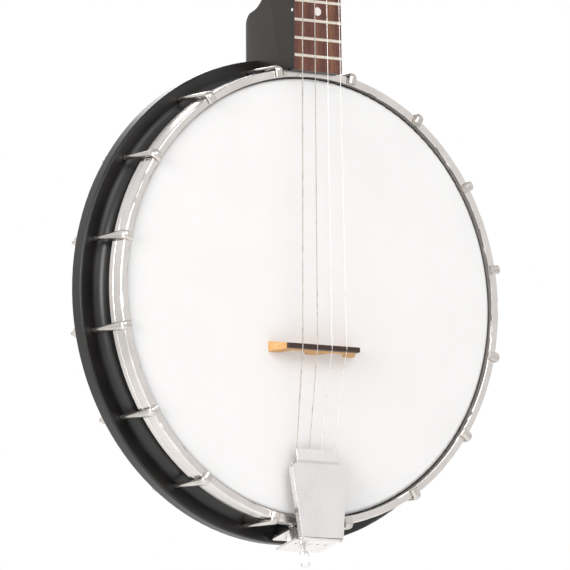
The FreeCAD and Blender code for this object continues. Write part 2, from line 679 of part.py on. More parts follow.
def make_worm():
    """A shaft with a single-start thread; a crest faces the post's axis at the middle."""
    pitch = math.pi * GEAR_MODULE
    turns = 3.5
    length = pitch * turns
    helix = Part.makeHelix(pitch, length, WORM_SHAFT_R)
    inner, outer = WORM_SHAFT_R - 0.15, WORM_CREST_R
    wide, narrow = 0.62, 0.34
    section = Part.makePolygon([V(inner, 0, -wide), V(outer, 0, -narrow), V(outer, 0, narrow),
                                V(inner, 0, wide), V(inner, 0, -wide)])
    thread = Part.Wire(helix).makePipeShell([section], True, True)
    shaft = rod(WORM_SHAFT_R, V(0, 0, length / 2 - 7.0), V(0, 0, length / 2 + 17.0))
    worm = shaft.fuse(Part.Solid(thread) if thread.ShapeType != "Solid" else thread)
    worm.translate(V(0, 0, -length / 2))
    # The crest at mid length is half of the turns round from +X. -X ends up at +Z, towards the post.
    worm.rotate(V(0, 0, 0), Z_AXIS, 180 - 360 * (turns / 2 - int(turns / 2)))
    worm.rotate(V(0, 0, 0), Y_AXIS, 90)
    return worm


def make_tuner_button():
    """An oval knob with rounded edges on the outer end of the worm's shaft."""
    oval = Part.Ellipse(V(0, 0, 0), 8.6, 6.6)
    knob = extruded(Part.Face(Part.Wire(oval.toShape())), V(0, 0, 7.2))
    knob = knob.makeFillet(2.6, knob.Edges)
    knob.translate(V(0, 0, -3.6))
    knob.rotate(V(0, 0, 0), Z_AXIS, 90)
    knob.rotate(V(0, 0, 0), X_AXIS, 90)
    knob.translate(V(21.0, 0, 0))
    collar = rod(2.6, V(12.6, 0, 0), V(16.0, 0, 0))
    bore = rod(WORM_SHAFT_R, V(10, 0, 0), V(17.0, 0, 0))
    return knob.fuse(collar).cut(bore).removeSplitter()


def make_gear():
    """A spur wheel on the end of the post, with a gap between two teeth at -Z, towards the worm."""
    tip, root = GEAR_PITCH_R + 0.55, GEAR_PITCH_R - 0.8
    step = 2 * math.pi / GEAR_TEETH
    corners = []
    for tooth in range(GEAR_TEETH):
        middle = -math.pi / 2 + (tooth + 0.5) * step
        for share, radius in ((-0.30, root), (-0.13, tip), (0.13, tip), (0.30, root)):
            angle = middle + share * step
            corners.append(V(radius * math.cos(angle), -1.2, radius * math.sin(angle)))
    wheel = extruded(polygon(corners), V(0, 2.4, 0))
    hub = rod(4.2, V(0, -2.9, 0), V(0, -1.2, 0))
    return wheel.fuse(hub).cut(rod(POST_R, V(0, -4, 0), V(0, 4, 0))).removeSplitter()


def make_post():
    """Capstan above the headstock, journal through it, and a screw head that holds the gear."""
    y = lambda thickness: neck_y(BOARD_THICKNESS + thickness)
    profile = ((0, POST_TOP), (2.2, POST_TOP), (3.3, POST_TOP + 0.9), (3.3, -11.6), (POST_WAIST_R, -10.7),
               (POST_WAIST_R, -4.4), (3.3, -3.4), (3.3, -1.3), (POST_R, -1.3), (POST_R, WORM_LEVEL + 1.25),
               (3.7, WORM_LEVEL + 1.25), (3.4, WORM_LEVEL + 2.5), (0, WORM_LEVEL + 2.5))
    outline = polygon([V(radius, y(level), NUT_TOP_Z) for radius, level in profile])
    post = outline.revolve(V(0, 0, NUT_TOP_Z), Y_AXIS, 360)
    hole = rod(0.7, head_point(-5, -4.9, 0), head_point(5, -4.9, 0))
    slot = block(-0.45, 0.45, y(WORM_LEVEL + 1.8), y(WORM_LEVEL + 3), NUT_TOP_Z - 5, NUT_TOP_Z + 5)
    return post.cut(hole).cut(slot)


def make_bushing():
    flange = tube(6.2, POST_R + 0.06, head_point(0, -1.1, 0), head_point(0, 0, 0))
    sleeve = tube(4.55, POST_R + 0.06, head_point(0, -0.5, 0), head_point(0, 7, 0))
    return flange.fuse(sleeve).removeSplitter()


def make_plate_screws():
    screws = []
    top = HEADSTOCK_THICKNESS + PLATE_THICKNESS
    for (x, z), shank in zip(plate_screw_places(), plate_screw_shanks()):
        trim = rod(1.8, head_point(x, top, z), head_point(x, top + 2, z))
        dome = ball(2.3, head_point(x, top - 1.2, z)).common(trim)
        screws.append(dome.fuse(shank))
    return placed(Part.makeCompound(screws), HEAD_PLACE)


def at_post(shape, x, z, level=None):
    """A tuner piece, built for the right side, moved to its post and mirrored on the left side."""
    copy = shape.copy()
    if level is not None:
        copy.translate(head_point(0, level, 0))
    if x < 0:
        copy = copy.mirror(V(0, 0, 0), X_AXIS)
    copy.translate(V(x, 0, z))
    return placed(copy, HEAD_PLACE)


# ---------------------------------------------------------------- strings, bridge and tailpiece
def string_route(index):
    """Where a string leaves the tailpiece, crosses the bridge and the nut, and meets its post."""
    radius = STRING_RADII[index]
    lip = TAIL_PLACE.multVec(tail_point(string_x(TAIL_STEP, index), TAIL_STRING, COVER_FRONT_Z + 1))
    bridge = V(string_x(BRIDGE_STEP, index), at_depth(-BRIDGE_HEIGHT - radius + 0.3), BRIDGE_Z)
    crest = NECK_PLACE.multVec(V(string_x(NUT_STEP, index), neck_y(NUT_STRING), NUT_Z))
    x, z = post_centres()[index]
    start = HEAD_PLACE.inverse().multVec(crest)
    reach_x, reach_z = x - start.x, NUT_TOP_Z + z - start.z
    distance = math.hypot(reach_x, reach_z)
    wrap = POST_WAIST_R + radius + 0.08
    angle = math.atan2(reach_z, reach_x) + math.copysign(math.asin(wrap / distance), x)
    along = math.sqrt(distance ** 2 - wrap ** 2)
    touch = V(start.x + along * math.cos(angle), neck_y(BOARD_THICKNESS + STRING_LEVEL),
              start.z + along * math.sin(angle))
    return lip, bridge, crest, HEAD_PLACE.multVec(touch)


def make_string(index):
    """A loop on its peg, straight runs over the bridge and the nut, and part of a turn on the post."""
    radius = STRING_RADII[index]
    lip, bridge, crest, touch = string_route(index)
    x = string_x(PEG_STEP, index)
    loop_r = PEG_R + radius + 0.05
    loop = Part.makeTorus(loop_r, radius, tail_point(x, TAIL_STRING, PEG_Z), Y_AXIS)
    twist_start = PEG_Z + loop_r
    twist_end = twist_start + 9
    twist = rod(radius * 1.7, tail_point(x, TAIL_STRING, twist_start), tail_point(x, TAIL_STRING, twist_end))
    start = TAIL_PLACE.multVec(tail_point(x, TAIL_STRING, PEG_Z + loop_r))
    pieces = [placed(loop, TAIL_PLACE), placed(twist, TAIL_PLACE)]
    points = [start, lip, bridge, crest, touch]
    for a, b in zip(points, points[1:]):
        pieces.append(rod(radius, a, b))
    pieces += [ball(radius * 1.04, point) for point in points[1:]]
    px, pz = post_centres()[index]
    axis_point = HEAD_PLACE.multVec(head_point(px, STRING_LEVEL, pz))
    axis = HEAD_PLACE.Rotation.multVec(Y_AXIS)
    forward = (touch - axis_point).cross(axis).normalize()
    section = Part.Face(Part.Wire(Part.makeCircle(radius, touch, forward)))
    # The string comes up on the inner side of its post and goes on round the far side.
    turn = section.revolve(axis_point, axis, math.copysign(75, px))
    return fused(pieces + [turn])


def make_winding(index):
    """The turns already on the post, below the one that the string arrives on."""
    radius = STRING_RADII[index]
    x, z = post_centres()[index]
    turns = []
    for count in range(1, 5):
        level = STRING_LEVEL + count * (2 * radius + 0.06)
        turns.append(Part.makeTorus(POST_WAIST_R + radius, radius, head_point(x, level, z), Y_AXIS))
    return placed(Part.makeCompound(turns), HEAD_PLACE)


CAP_THICKNESS = 3.2
BRIDGE_HALF_TOP = 29.1
BRIDGE_OUTER = ((35.0, 0.0), (34.7, 2.6), (32.6, 6.2), (30.2, 10.0), (29.1, 13.8))


def bridge_wedge(low, high):
    """The bridge's section along the strings: thick at the feet and thin at the top."""
    def corner(height, side):
        half = 3.6 - (3.6 - 1.6) * height / BRIDGE_HEIGHT
        return V(-40, at_depth(-FILM - height), BRIDGE_Z + side * half)
    face = polygon([corner(low, -1), corner(low, 1), corner(high, 1), corner(high, -1)])
    return extruded(face, V(80, 0, 0))


def make_bridge_body():
    """Maple: three feet and two arches."""
    z = BRIDGE_Z - 10

    def p(x, height):
        return V(x, at_depth(-FILM - height), z)

    top = BRIDGE_HEIGHT - FILM - CAP_THICKNESS
    right = [p(x, height * top / 13.8) for x, height in BRIDGE_OUTER]
    left = [p(-x, height * top / 13.8) for x, height in reversed(BRIDGE_OUTER)]
    face = face_of([
        curve(right), line(right[-1], left[0]), curve(left), line(left[-1], p(-26, 0)),
        arc(p(-26, 0), p(-15.5, 8.2), p(-5, 0)), line(p(-5, 0), p(5, 0)),
        arc(p(5, 0), p(15.5, 8.2), p(26, 0)), line(p(26, 0), right[0]),
    ])
    return extruded(face, V(0, 0, 20)).common(bridge_wedge(0, BRIDGE_HEIGHT))


def make_bridge_cap():
    """Ebony, with a shallow notch for each string."""
    low, high = BRIDGE_HEIGHT - FILM - CAP_THICKNESS, BRIDGE_HEIGHT - FILM
    ends = block(-BRIDGE_HALF_TOP, BRIDGE_HALF_TOP, at_depth(-30), at_depth(0), BRIDGE_Z - 10, BRIDGE_Z + 10)
    cap = bridge_wedge(low, high).common(ends)
    for index, radius in enumerate(STRING_RADII):
        lip, bridge, crest, _ = string_route(index)
        room = radius + 0.05
        near_lip = bridge + (lip - bridge) * 0.1
        near_nut = bridge + (crest - bridge) * 0.03
        above = block(bridge.x - room, bridge.x + room, bridge.y - 3, bridge.y, BRIDGE_Z - 5, BRIDGE_Z + 5)
        notch = [rod(room, bridge, near_lip), rod(room, bridge, near_nut), ball(room * 1.02, bridge), above]
        for tool in notch:
            cap = cap.cut(tool)
    return cap


TAIL_STRING = 3.25              # the strings' centre below the cover's face
PEG_R = 0.9
PEG_Z = -157.0
COVER_WIDE_Z = -114.0
COVER_HALF_FRONT = 22.5
COVER_HALF_TAIL = 17.0
LIP_HALF = 16.9
SHEET = 1.0
PIN_R = 0.9
PIN_HALF = 17.6
EAR_R = 1.8
BARREL_R = 1.5
WALL_THICKNESS = 1.4
HOLE_STEP = 6.04
HOLE_BACK = 12.6                # hinge to the row of string holes, along the end wall
ADJUSTER_R = 1.5
ADJUSTER_HEAD_R = 3.3
BOSS_OUT = -163.1               # the two faces of the boss for the end bolt
BOSS_IN = -158.3
PLATE_LEVEL = 4.3               # the base plate's face below the cover's face


def tail_point(x, below, z):
    """A point of the tailpiece's own frame: distance below the cover's face."""
    return V(x, at_depth(COVER_TAIL_DEPTH + below), z)


def sheet(outline, below, thickness):
    return extruded(polygon([tail_point(x, below, z) for x, z in outline]), V(0, thickness, 0))


def hinge_axis():
    return TAIL_PLACE.inverse().multVec(V(0, at_depth(HINGE_DEPTH), HINGE_Z))


def make_tail_cover():
    """A folded sheet: a tapering top, two bent sides with hinge ears, and a stepped front lip."""
    wide, narrow = COVER_HALF_FRONT, COVER_HALF_TAIL
    clip = 3.0
    top = sheet(((-wide + clip, COVER_WIDE_Z), (wide - clip, COVER_WIDE_Z), (wide, COVER_WIDE_Z - clip),
                 (narrow, COVER_TAIL_Z), (-narrow, COVER_TAIL_Z), (-wide, COVER_WIDE_Z - clip)), 0, SHEET)
    step = ((0, -118.0), (0, COVER_WIDE_Z - 0.6), (1.5, -111.8), (1.9, COVER_FRONT_Z), (2.6, COVER_FRONT_Z),
            (2.4, -112.2), (SHEET, -115.4), (SHEET, -118.0))
    lip = extruded(polygon([tail_point(-LIP_HALF, below, z) for below, z in step]), V(2 * LIP_HALF, 0, 0))
    cover = top.fuse(lip)
    hinge = hinge_axis()
    for side in (-1, 1):
        outer_front, outer_tail = side * wide, side * narrow
        inner_front, inner_tail = side * (wide - SHEET), side * (narrow - SHEET)
        wall = sheet(((outer_front, COVER_WIDE_Z - clip), (outer_tail, COVER_TAIL_Z),
                      (inner_tail, COVER_TAIL_Z), (inner_front, COVER_WIDE_Z - clip)), 0, 4.2)
        low, high = sorted((inner_tail, outer_tail))
        ear = rod(EAR_R, V(low, hinge.y, hinge.z), V(high, hinge.y, hinge.z))
        link = block(low, high, at_depth(COVER_TAIL_DEPTH), hinge.y + EAR_R, hinge.z, COVER_TAIL_Z + 3)
        cover = cover.fuse(wall).fuse(ear).fuse(link)
    cover = cover.cut(rod(PIN_R + 0.05, V(-20, hinge.y, hinge.z), V(20, hinge.y, hinge.z)))
    return placed(cover.removeSplitter(), TAIL_PLACE)


def end_point(x, back, rise):
    """A point of the end wall's own frame: distance back from the hinge, and rise off the wall's face."""
    return V(x, at_depth(HINGE_DEPTH + back), HINGE_Z + rise)


def end_block(half, back_from, back_to, rise_from, rise_to):
    return block(-half, half, at_depth(HINGE_DEPTH + back_from), at_depth(HINGE_DEPTH + back_to),
                 HINGE_Z + rise_from, HINGE_Z + rise_to)


def rounded_at_back(slab, radius):
    """The slab with the two corners farthest from the hinge rounded."""
    back = slab.BoundBox.YMax
    corners = [e for e in slab.Edges if e.BoundBox.ZLength > 1 and e.BoundBox.YMin > back - 0.01]
    return slab.makeFillet(radius, corners)


def make_tail_base():
    """A plate with a peg for each string, a hinge barrel, and an end wall with string holes."""
    plate = sheet(((-COVER_HALF_FRONT + 4, COVER_WIDE_Z + 1), (COVER_HALF_FRONT - 4, COVER_WIDE_Z + 1),
                   (COVER_HALF_FRONT - 1.6, COVER_WIDE_Z - 3), (COVER_HALF_TAIL - 1.6, COVER_TAIL_Z - 1),
                   (-COVER_HALF_TAIL + 1.6, COVER_TAIL_Z - 1), (-COVER_HALF_FRONT + 1.6, COVER_WIDE_Z - 3)),
                  PLATE_LEVEL, WALL_THICKNESS)
    for index in range(len(STRING_RADII)):
        x = string_x(PEG_STEP, index)
        plate = plate.fuse(rod(PEG_R, tail_point(x, 1.7, PEG_Z), tail_point(x, PLATE_LEVEL + 0.5, PEG_Z)))
    base = placed(plate, TAIL_PLACE)
    inside = COVER_HALF_TAIL - SHEET - 0.5
    barrel = rod(BARREL_R, end_point(-inside, 0, 0), end_point(inside, 0, 0))
    collar = end_block(inside, 0, 3.6, 0, WALL_THICKNESS)
    wall = rounded_at_back(end_block(END_WALL_HALF, 3.5, END_WALL_LENGTH, 0, WALL_THICKNESS), 1.5)
    wall = collar.fuse(wall)
    for count in range(5):
        x = HOLE_STEP * (count - 2)
        wall = wall.cut(rod(1.25, end_point(x, HOLE_BACK, -1), end_point(x, HOLE_BACK, 3)))
    wall = wall.cut(rod(ADJUSTER_R + 0.05, end_point(0, ADJUSTER_BACK, -1), end_point(0, ADJUSTER_BACK, 3)))
    base = base.fuse(placed(barrel.fuse(wall), END_PLACE))
    return base.cut(rod(PIN_R + 0.05, end_point(-20, 0, 0), end_point(20, 0, 0))).removeSplitter()


def make_hinge_pin():
    return rod(PIN_R, end_point(-PIN_HALF, 0, 0), end_point(PIN_HALF, 0, 0))


def make_hanger():
    """A strap along the pot's side, bent down to the end wall, with a flat boss for the end bolt."""
    strap = rounded_at_back(end_block(STRAP_HALF, 16.2, 41.4, STRAP_RISE, STRAP_RISE + 1.6), 4.0)
    riser = end_block(STRAP_HALF, 16.2, 17.8, WALL_THICKNESS + 0.05, STRAP_RISE + 0.1)
    boss = rod(6.0, on_rod(BOSS_OUT), on_rod(BOSS_IN))
    hanger = placed(strap.fuse(riser), END_PLACE).fuse(boss)
    return hanger.cut(rod(BOLT_R + 0.2, on_rod(BOSS_OUT - 4), on_rod(BOSS_IN + 4))).removeSplitter()


def make_end_bolt():
    return rod(BOLT_R, on_rod(-ROD_HALF + SOCKET - 4), on_rod(BOSS_OUT - 5.2))


def make_end_spacer():
    return tube(4.9, BOLT_R + 0.15, on_rod(-RIM_OUTER_R - 0.1), on_rod(BOSS_IN + 0.1))


def make_end_nut():
    """An acorn nut: a hexagon with a domed end."""
    start = BOSS_OUT - 0.1
    body = hexagon(9.6, on_rod(start - 4.6), on_rod(start))
    trim = block(-6, 6, at_depth(ROD_DEPTH - 6), at_depth(ROD_DEPTH + 6), start - 10, start - 4.0)
    dome = ball(4.6, on_rod(start - 4.2)).common(trim)
    return body.fuse(dome).cut(rod(BOLT_R + 0.05, on_rod(start - 6), on_rod(start + 1)))


def make_adjuster():
    """A screw square to the end wall, with a slim, fluted, domed head; its tip stands off the strap."""
    screw = rod(ADJUSTER_R, end_point(0, ADJUSTER_BACK, -3), end_point(0, ADJUSTER_BACK, STRAP_RISE - 0.3))
    head = rod(ADJUSTER_HEAD_R, end_point(0, ADJUSTER_BACK, -12.4), end_point(0, ADJUSTER_BACK, -2.6))
    edges = [e for e in head.Edges if e.BoundBox.ZLength < 0.01]
    head = head.makeFillet(0.6, [e for e in edges if e.BoundBox.ZMin > HINGE_Z - 3])
    ball_centre = end_point(0, ADJUSTER_BACK, -12.4 + 3.2)
    cap = ball(4.6, ball_centre).common(rod(ADJUSTER_HEAD_R, end_point(0, ADJUSTER_BACK, -14.5),
                                            end_point(0, ADJUSTER_BACK, -12.4)))
    flutes = []
    for count in range(16):
        angle = math.radians(22.5 * count)
        x, back = 3.42 * math.cos(angle), ADJUSTER_BACK + 3.42 * math.sin(angle)
        flutes.append(rod(0.36, end_point(x, back, -10.5), end_point(x, back, -4.2)))
    return placed(fused([screw, head, cap]).cut(Part.makeCompound(flutes)), END_PLACE)


def make_lock_nut():
    """Inside the end wall."""
    low = end_point(0, ADJUSTER_BACK, WALL_THICKNESS + 0.1)
    high = end_point(0, ADJUSTER_BACK, WALL_THICKNESS + 2.7)
    return placed(hexagon(5.5, low, high, ADJUSTER_R + 0.05), END_PLACE)


# ---------------------------------------------------------------- every sub-part, by name
STRING_NAMES = ("c", "g", "d", "a")


def all_parts():
    parts = {
        "rim": make_rim(),
        "head_membrane": make_head(),
        "flesh_hoop": make_flesh_hoop(),
        "tension_hoop": make_tension_hoop(),
        "bracket_hooks": around_pot(make_hook()),
        "hook_nuts": around_pot(make_hook_nut()),
        "hook_washers": around_pot(make_hook_washer()),
        "coordinator_rod": make_coordinator_rod(),
        "coordinator_nuts": make_rod_nuts(),
        "heel_bolt": make_heel_bolt(),
        "end_bolt": make_end_bolt(),
        "end_bolt_spacer": make_end_spacer(),
        "end_bolt_nut": make_end_nut(),
        "neck": make_neck(),
        "fingerboard": make_fingerboard(),
        "frets": make_frets(),
        "position_dots": make_inlays(),
        "nut": make_nut(),
        "headstock_veneer": make_headstock_veneer(),
        "truss_rod": make_truss_rod(),
        "truss_rod_nut": make_truss_nut(),
        "truss_rod_cover": make_truss_cover(),
        "truss_cover_screws": make_cover_screws(),
        "bridge_body": make_bridge_body(),
        "bridge_cap": make_bridge_cap(),
        "tailpiece_base": make_tail_base(),
        "tailpiece_cover": make_tail_cover(),
        "tailpiece_hinge_pin": make_hinge_pin(),
        "tailpiece_hanger": make_hanger(),
        "tailpiece_adjuster": make_adjuster(),
        "tailpiece_lock_nut": make_lock_nut(),
    }
    plate, bushing, worm = make_tuner_plate(), make_bushing(), make_worm()
    button, gear, post = make_tuner_button(), make_gear(), make_post()
    centres = post_centres()
    parts["tuner_plates"] = Part.makeCompound([at_post(plate, x, z) for x, z in centres])
    parts["tuner_bushings"] = Part.makeCompound([at_post(bushing, x, z) for x, z in centres])
    parts["tuner_screws"] = make_plate_screws()
    for index, name in enumerate(STRING_NAMES):
        x, z = centres[index]
        parts["tuner_worm_" + name] = at_post(worm, x, z - WORM_OFFSET, WORM_LEVEL)
        parts["tuner_button_" + name] = at_post(button, x, z - WORM_OFFSET, WORM_LEVEL)
        parts["tuner_gear_" + name] = at_post(gear, x, z, WORM_LEVEL)
        parts["tuner_post_" + name] = at_post(post, x, z)
        parts["string_" + name] = make_string(index)
        parts["string_winding_" + name] = make_winding(index)
    return parts


os.makedirs("parts", exist_ok=True)
for node, shape in all_parts().items():
    print(node, shape.isValid(), round(shape.Volume, 1))
    shape.exportStep("parts/" + node + ".step")
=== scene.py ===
# %% [markdown]
# A short-scale tenor banjo. The CAD model is loaded as a fixed frame: its shapes, joints and places are
# settled there. What this script adds is what a player sees and touches: plating, lacquer, wood grain,
# a frosted head, rounded sheet-metal edges and chamfered nuts.

# %% Load the frame
import bmesh
import bpy
import json
import math
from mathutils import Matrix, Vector

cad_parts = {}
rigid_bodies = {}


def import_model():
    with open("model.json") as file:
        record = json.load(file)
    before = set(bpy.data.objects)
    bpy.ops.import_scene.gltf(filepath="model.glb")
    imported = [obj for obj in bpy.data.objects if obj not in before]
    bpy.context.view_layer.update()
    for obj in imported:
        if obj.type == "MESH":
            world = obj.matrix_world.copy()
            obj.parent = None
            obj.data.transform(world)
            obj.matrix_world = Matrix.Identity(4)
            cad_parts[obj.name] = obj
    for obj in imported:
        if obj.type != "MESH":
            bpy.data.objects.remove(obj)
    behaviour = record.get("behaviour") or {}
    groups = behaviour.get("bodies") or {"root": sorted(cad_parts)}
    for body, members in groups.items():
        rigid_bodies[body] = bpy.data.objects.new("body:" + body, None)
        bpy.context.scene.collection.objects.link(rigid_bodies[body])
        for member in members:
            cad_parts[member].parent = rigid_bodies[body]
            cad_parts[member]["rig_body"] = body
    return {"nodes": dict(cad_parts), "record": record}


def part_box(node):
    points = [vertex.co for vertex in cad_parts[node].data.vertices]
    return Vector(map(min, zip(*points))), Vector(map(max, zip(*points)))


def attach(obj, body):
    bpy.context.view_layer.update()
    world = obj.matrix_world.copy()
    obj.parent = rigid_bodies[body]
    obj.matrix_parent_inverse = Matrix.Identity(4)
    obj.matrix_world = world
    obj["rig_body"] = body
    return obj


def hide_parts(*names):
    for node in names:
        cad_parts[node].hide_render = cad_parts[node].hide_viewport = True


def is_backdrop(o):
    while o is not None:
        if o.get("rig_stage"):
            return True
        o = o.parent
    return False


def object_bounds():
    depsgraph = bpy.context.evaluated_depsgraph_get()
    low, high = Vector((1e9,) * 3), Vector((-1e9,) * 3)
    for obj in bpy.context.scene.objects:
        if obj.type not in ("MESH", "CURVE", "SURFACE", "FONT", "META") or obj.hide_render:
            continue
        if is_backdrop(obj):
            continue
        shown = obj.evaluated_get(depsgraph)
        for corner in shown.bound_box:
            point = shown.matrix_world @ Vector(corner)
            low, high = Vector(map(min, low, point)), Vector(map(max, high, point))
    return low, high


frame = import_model()
cad_low, cad_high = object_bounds()
MM = 0.001
scene = bpy.context.scene
print("CAD box", cad_low, cad_high)

# %% [markdown]
# Places come from the frame. The head's film gives the playing face, and the hoop gives the pot's size.
# The pot's axis is the Y axis and the head faces -Y, so a smaller y is nearer to the player's picking hand.

# %% Where things are
HEAD_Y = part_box("head_membrane")[0].y
rim_low, rim_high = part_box("rim")
print("head face at y =", round(HEAD_Y, 4), "pot width", round(rim_high.x - rim_low.x, 4))

# %% [markdown]
# The camera stands in front and to the player's right, a little below the pot's centre, and far away
# behind a long lens. A long lens keeps the hoop's ellipse even, as catalogue pictures of instruments do.
# It turns about the centre of the head's bearing edge, so one length and two angles place it.

# %% Camera
CAMERA_TURN = math.radians(34.78)
CAMERA_RISE = math.radians(6.47)
CAMERA_DISTANCE = 5.128
CAMERA_LENS = 476.6             # millimetres, on a 36 mm sensor
CAMERA_SHIFT = (-0.0449, 0.02167)
TURNING_POINT = Vector((0, -0.062, 0))      # on the pot's axis, at the head's bearing edge
look = Vector((math.sin(CAMERA_TURN) * math.cos(CAMERA_RISE), math.cos(CAMERA_TURN) * math.cos(CAMERA_RISE),
               math.sin(CAMERA_RISE)))
camera = bpy.data.objects.new("camera", bpy.data.cameras.new("camera"))
scene.collection.objects.link(camera)
camera.location = TURNING_POINT - look * CAMERA_DISTANCE
camera.rotation_mode = "QUATERNION"
camera.rotation_quaternion = look.to_track_quat("-Z", "Y")
camera.data.lens = CAMERA_LENS
camera.data.sensor_width = 36.0
camera.data.shift_x, camera.data.shift_y = CAMERA_SHIFT
camera.data.clip_end = 100.0
scene.camera = camera
print("camera at", tuple(round(v, 3) for v in camera.location))

# %% [markdown]
# Plain studio: a pale floor well below the instrument, which hangs by its headstock, and a white world
# that wraps round it. Polished plate shows only what it mirrors, so the world that lights and mirrors is
# not even: it has soft grey bands, as a studio has between its white screens. The camera sees plain white.

# %% Studio
def linear(colour):
    """An sRGB hex colour as linear red, green, blue and alpha."""
    values = [int(colour[i:i + 2], 16) / 255 for i in (1, 3, 5)]
    return tuple(v / 12.92 if v <= 0.04045 else ((v + 0.055) / 1.055) ** 2.4 for v in values) + (1.0,)


def add(tree, kind, inputs=None, **settings):
    """Adds a node, sets its properties, and fills its inputs from values or from other nodes' outputs."""
    made = tree.nodes.new(kind)
    for name, value in settings.items():
        setattr(made, name, value)
    for name, value in (inputs or {}).items():
        if isinstance(value, bpy.types.NodeSocket):
            tree.links.new(value, made.inputs[name])
        else:
            made.inputs[name].default_value = value
    return made


def ramp(tree, source, stops, mode="EASE"):
    """A colour ramp: stops are pairs of place and hex colour."""
    made = add(tree, "ShaderNodeValToRGB", {"Fac": source})
    made.color_ramp.interpolation = mode
    while len(made.color_ramp.elements) < len(stops):
        made.color_ramp.elements.new(1.0)
    for element, (place, colour) in zip(made.color_ramp.elements, stops):
        element.position = place
        element.color = linear(colour)
    return made.outputs["Color"]


world = bpy.data.worlds.new("studio")
scene.world = world
world.use_nodes = True
tree = world.node_tree
tree.nodes.clear()
direction = add(tree, "ShaderNodeTexCoord").outputs["Generated"]
split = add(tree, "ShaderNodeSeparateXYZ", {"Vector": direction})
height = add(tree, "ShaderNodeMapRange", {"Value": split.outputs["Z"], "From Min": -1.0, "From Max": 1.0})
bands = ramp(tree, height.outputs["Result"],
             [(0.0, "#C9C8C6"), (0.30, "#EFEEEC"), (0.44, "#9A9896"), (0.52, "#F4F3F1"), (0.72, "#FFFFFF"),
              (1.0, "#D8D8D8")])
lit = add(tree, "ShaderNodeBackground", {"Color": bands, "Strength": 0.9})
seen = add(tree, "ShaderNodeBackground", {"Color": (1, 1, 1, 1), "Strength": 1.0})
rays = add(tree, "ShaderNodeLightPath")
both = add(tree, "ShaderNodeMixShader", {"Fac": rays.outputs["Is Camera Ray"],
                                         1: lit.outputs[0], 2: seen.outputs[0]})
add(tree, "ShaderNodeOutputWorld", {"Surface": both.outputs[0]})
scene.view_settings.view_transform = "Standard"


def area_light(name, place, target, size, watts, colour="#FFFFFF"):
    lamp = bpy.data.lights.new(name, "AREA")
    lamp.shape = "RECTANGLE"
    lamp.size, lamp.size_y = size
    lamp.energy = watts
    lamp.color = linear(colour)[:3]
    made = bpy.data.objects.new(name, lamp)
    scene.collection.objects.link(made)
    made.location = place
    made.rotation_mode = "QUATERNION"
    made.rotation_quaternion = (Vector(target) - Vector(place)).to_track_quat("-Z", "Y")
    return made


area_light("side_screen", (-2.6, -0.9, 0.5), (0, 0, 0), (1.0, 1.6), 45)
area_light("front_screen", (-0.4, -3.2, 1.6), (0, 0, 0), (2.4, 1.6), 30)
area_light("back_screen", (1.2, 2.6, 1.4), (0, 0, 0.2), (1.6, 1.6), 30)

# %% [markdown]
# The floor lies below the camera's level, so it never cuts across the instrument. It is matt and pale, with
# wide, faint clouds as rolled paint has, and it is marked as stage so that it isn't part of the banjo.

# %% Floor
floor = bpy.data.objects.new("floor", bpy.data.meshes.new("floor"))
scene.collection.objects.link(floor)
FLOOR_DROP = 0.75
FLOOR_HALF = 60.0
floor.data.from_pydata([(x * FLOOR_HALF, y * FLOOR_HALF, cad_low.z - FLOOR_DROP)
                        for x, y in ((-1, -1), (1, -1), (1, 1), (-1, 1))], [], [(0, 1, 2, 3)])
floor_finish = bpy.data.materials.new("floor_paint_matt_pale")
floor_finish.use_nodes = True
paint = floor_finish.node_tree
paint.nodes.clear()
cloud = add(paint, "ShaderNodeTexNoise", {"Vector": add(paint, "ShaderNodeTexCoord").outputs["Object"],
                                          "Scale": 0.8, "Detail": 3.0}).outputs["Fac"]
pale = ramp(paint, cloud, [(0.3, "#F3F3F2"), (0.7, "#F7F7F6")])
matt = add(paint, "ShaderNodeBsdfPrincipled", {"Base Color": pale, "Roughness": 0.8})
add(paint, "ShaderNodeOutputMaterial", {"Surface": matt.outputs[0]})
floor.data.materials.append(floor_finish)
floor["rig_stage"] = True

# %% [markdown]
# Every finish is built from the same few parts. Noise is given its grain size in millimetres and can be
# stretched along one direction; a span turns it into a narrow range of roughness; a bump gives it depth.
# All of them read object coordinates, which on these pieces are the frame's own metres.

# %% Material helpers
def new_material(name):
    """An empty node material, with its tree and its object coordinates."""
    made = bpy.data.materials.new(name)
    made.use_nodes = True
    made.node_tree.nodes.clear()
    return made, made.node_tree, add(made.node_tree, "ShaderNodeTexCoord").outputs["Object"]


def noise(tree, place, size, detail=3.0, stretch=(1, 1, 1), turn=(0, 0, 0)):
    """Noise whose grain is about size millimetres; a stretch below one draws it out along that axis."""
    mapped = add(tree, "ShaderNodeMapping", {"Vector": place, "Scale": stretch, "Rotation": turn})
    return add(tree, "ShaderNodeTexNoise", {"Vector": mapped.outputs["Vector"], "Scale": 1 / (size * MM),
                                            "Detail": detail, "Roughness": 0.55}).outputs["Fac"]


def span(tree, value, low, high, start=0.3, stop=0.7):
    """Maps a value between start and stop onto low to high."""
    return add(tree, "ShaderNodeMapRange", {"Value": value, "From Min": start, "From Max": stop,
                                            "To Min": low, "To Max": high}).outputs["Result"]


def maths(tree, operation, first, second=0.0):
    made = add(tree, "ShaderNodeMath", {0: first, 1: second}, operation=operation)
    return made.outputs[0]


def bump(tree, height, depth, under=None):
    """Relief of the given depth in millimetres, over any relief already made."""
    inputs = {"Height": height, "Distance": depth * MM}
    if under:
        inputs["Normal"] = under
    return add(tree, "ShaderNodeBump", inputs).outputs["Normal"]


def mixed(tree, factor, first, second):
    made = add(tree, "ShaderNodeMix", data_type="RGBA")
    for index, value in ((0, factor), (6, first), (7, second)):
        if isinstance(value, bpy.types.NodeSocket):
            tree.links.new(value, made.inputs[index])
        else:
            made.inputs[index].default_value = value
    return made.outputs[2]


